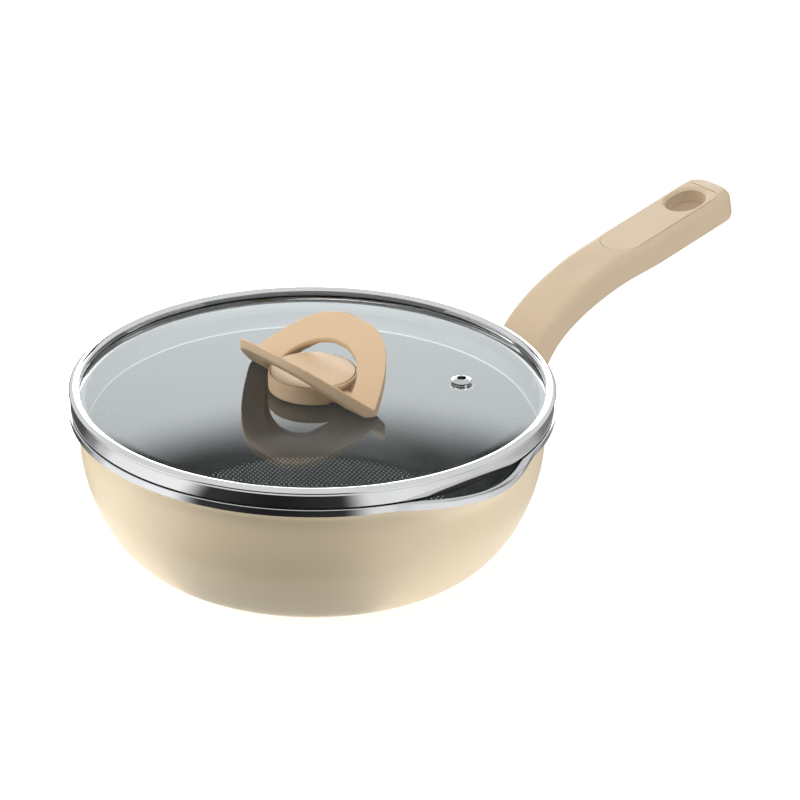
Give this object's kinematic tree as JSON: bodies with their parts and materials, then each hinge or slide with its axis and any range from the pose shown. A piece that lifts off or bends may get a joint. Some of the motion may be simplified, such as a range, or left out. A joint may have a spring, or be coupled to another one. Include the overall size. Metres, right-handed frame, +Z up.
{
  "type": "saucepan with glass lid",
  "caption": "Wide round-bellied saucepan with a side pouring lip, an S-curved moulded handle with a hang hole, and a glass lid with a winged knob and steam vent.",
  "frame": {"origin": "centre of the base's resting face", "axes": "+Z up, +X along the handle, the pouring lip at -Y"},
  "size_m": [0.4124, 0.2564, 0.1245],
  "materials": {
    "pan_enamel": "cream heat-proof enamel outside, polished bare rim, charcoal non-stick inside",
    "base_steel": "brushed, perforated induction disc",
    "boss_aluminium": "bare",
    "handle_moulding": "fine matte, warm beige",
    "fastener_steel": "bright zinc",
    "lid_glass": "clear tempered",
    "lid_steel": "mirror-polished stainless steel",
    "seal_silicone": "matte",
    "knob_moulding": "fine matte, warm beige",
    "insert_brass": "bare"
  },
  "bodies": {
    "pan": {"pan_body": "pan_enamel", "base_plate": "base_steel", "handle_boss": "boss_aluminium", "handle_body": "handle_moulding", "handle_inlay": "handle_moulding", "handle_washer": "fastener_steel", "handle_screw": "fastener_steel"},
    "lid": {"lid_glass": "lid_glass", "lid_rim_band": "lid_steel", "vent_eyelet": "lid_steel", "vent_gasket": "seal_silicone", "vent_washer": "fastener_steel", "knob_body": "knob_moulding", "knob_cap": "knob_moulding", "knob_insert": "insert_brass", "knob_upper_seal": "seal_silicone", "knob_lower_seal": "seal_silicone", "knob_washer": "fastener_steel", "knob_screw": "fastener_steel"}
  },
  "joints": [
    {"name": "lid_lift", "type": "slide", "parent": "pan", "child": "lid", "axis": [0, 0, 1], "range_m": [0, 0.12]}
  ]
}
